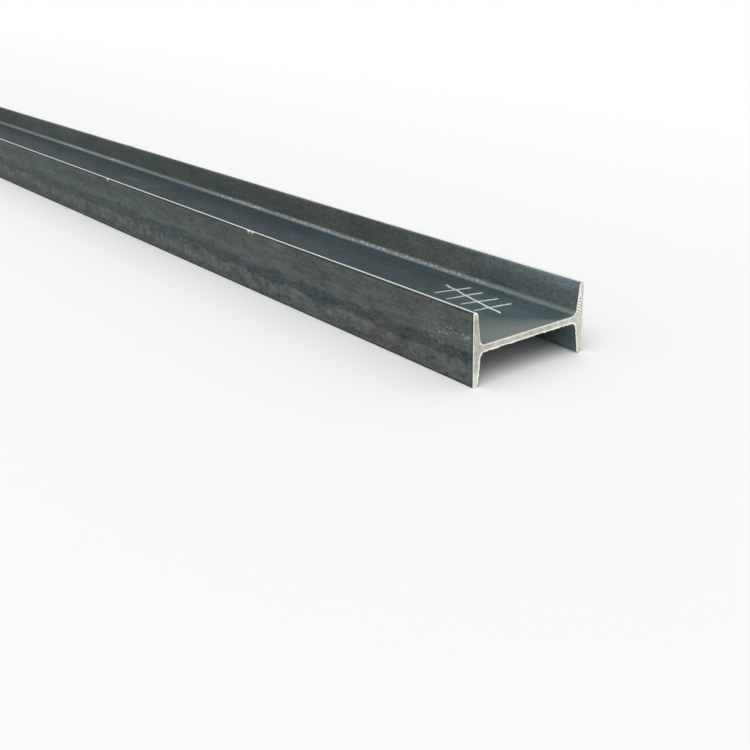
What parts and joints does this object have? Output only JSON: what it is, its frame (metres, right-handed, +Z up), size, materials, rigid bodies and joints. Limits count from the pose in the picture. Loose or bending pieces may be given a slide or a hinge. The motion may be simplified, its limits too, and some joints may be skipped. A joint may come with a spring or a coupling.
{
  "type": "steel i-beam",
  "caption": "Hot-rolled steel I-beam, one plain length of stock with tapered flanges, lying on its flange tips with the web level.",
  "frame": {"origin": "on the floor under the middle of the beam's length and depth", "axes": "+X along the beam towards the end that the picture shows, +Y across the section's depth, +Z up across the flange width; the web is level"},
  "size_m": [6, 0.2, 0.102],
  "materials": {
    "mill_scale_steel": "hot-rolled steel in its dark blue-grey mill scale, semi-matt, with bare pale saw-cut ends"
  },
  "bodies": {
    "root": {"i_beam": "mill_scale_steel"}
  },
  "joints": []
}
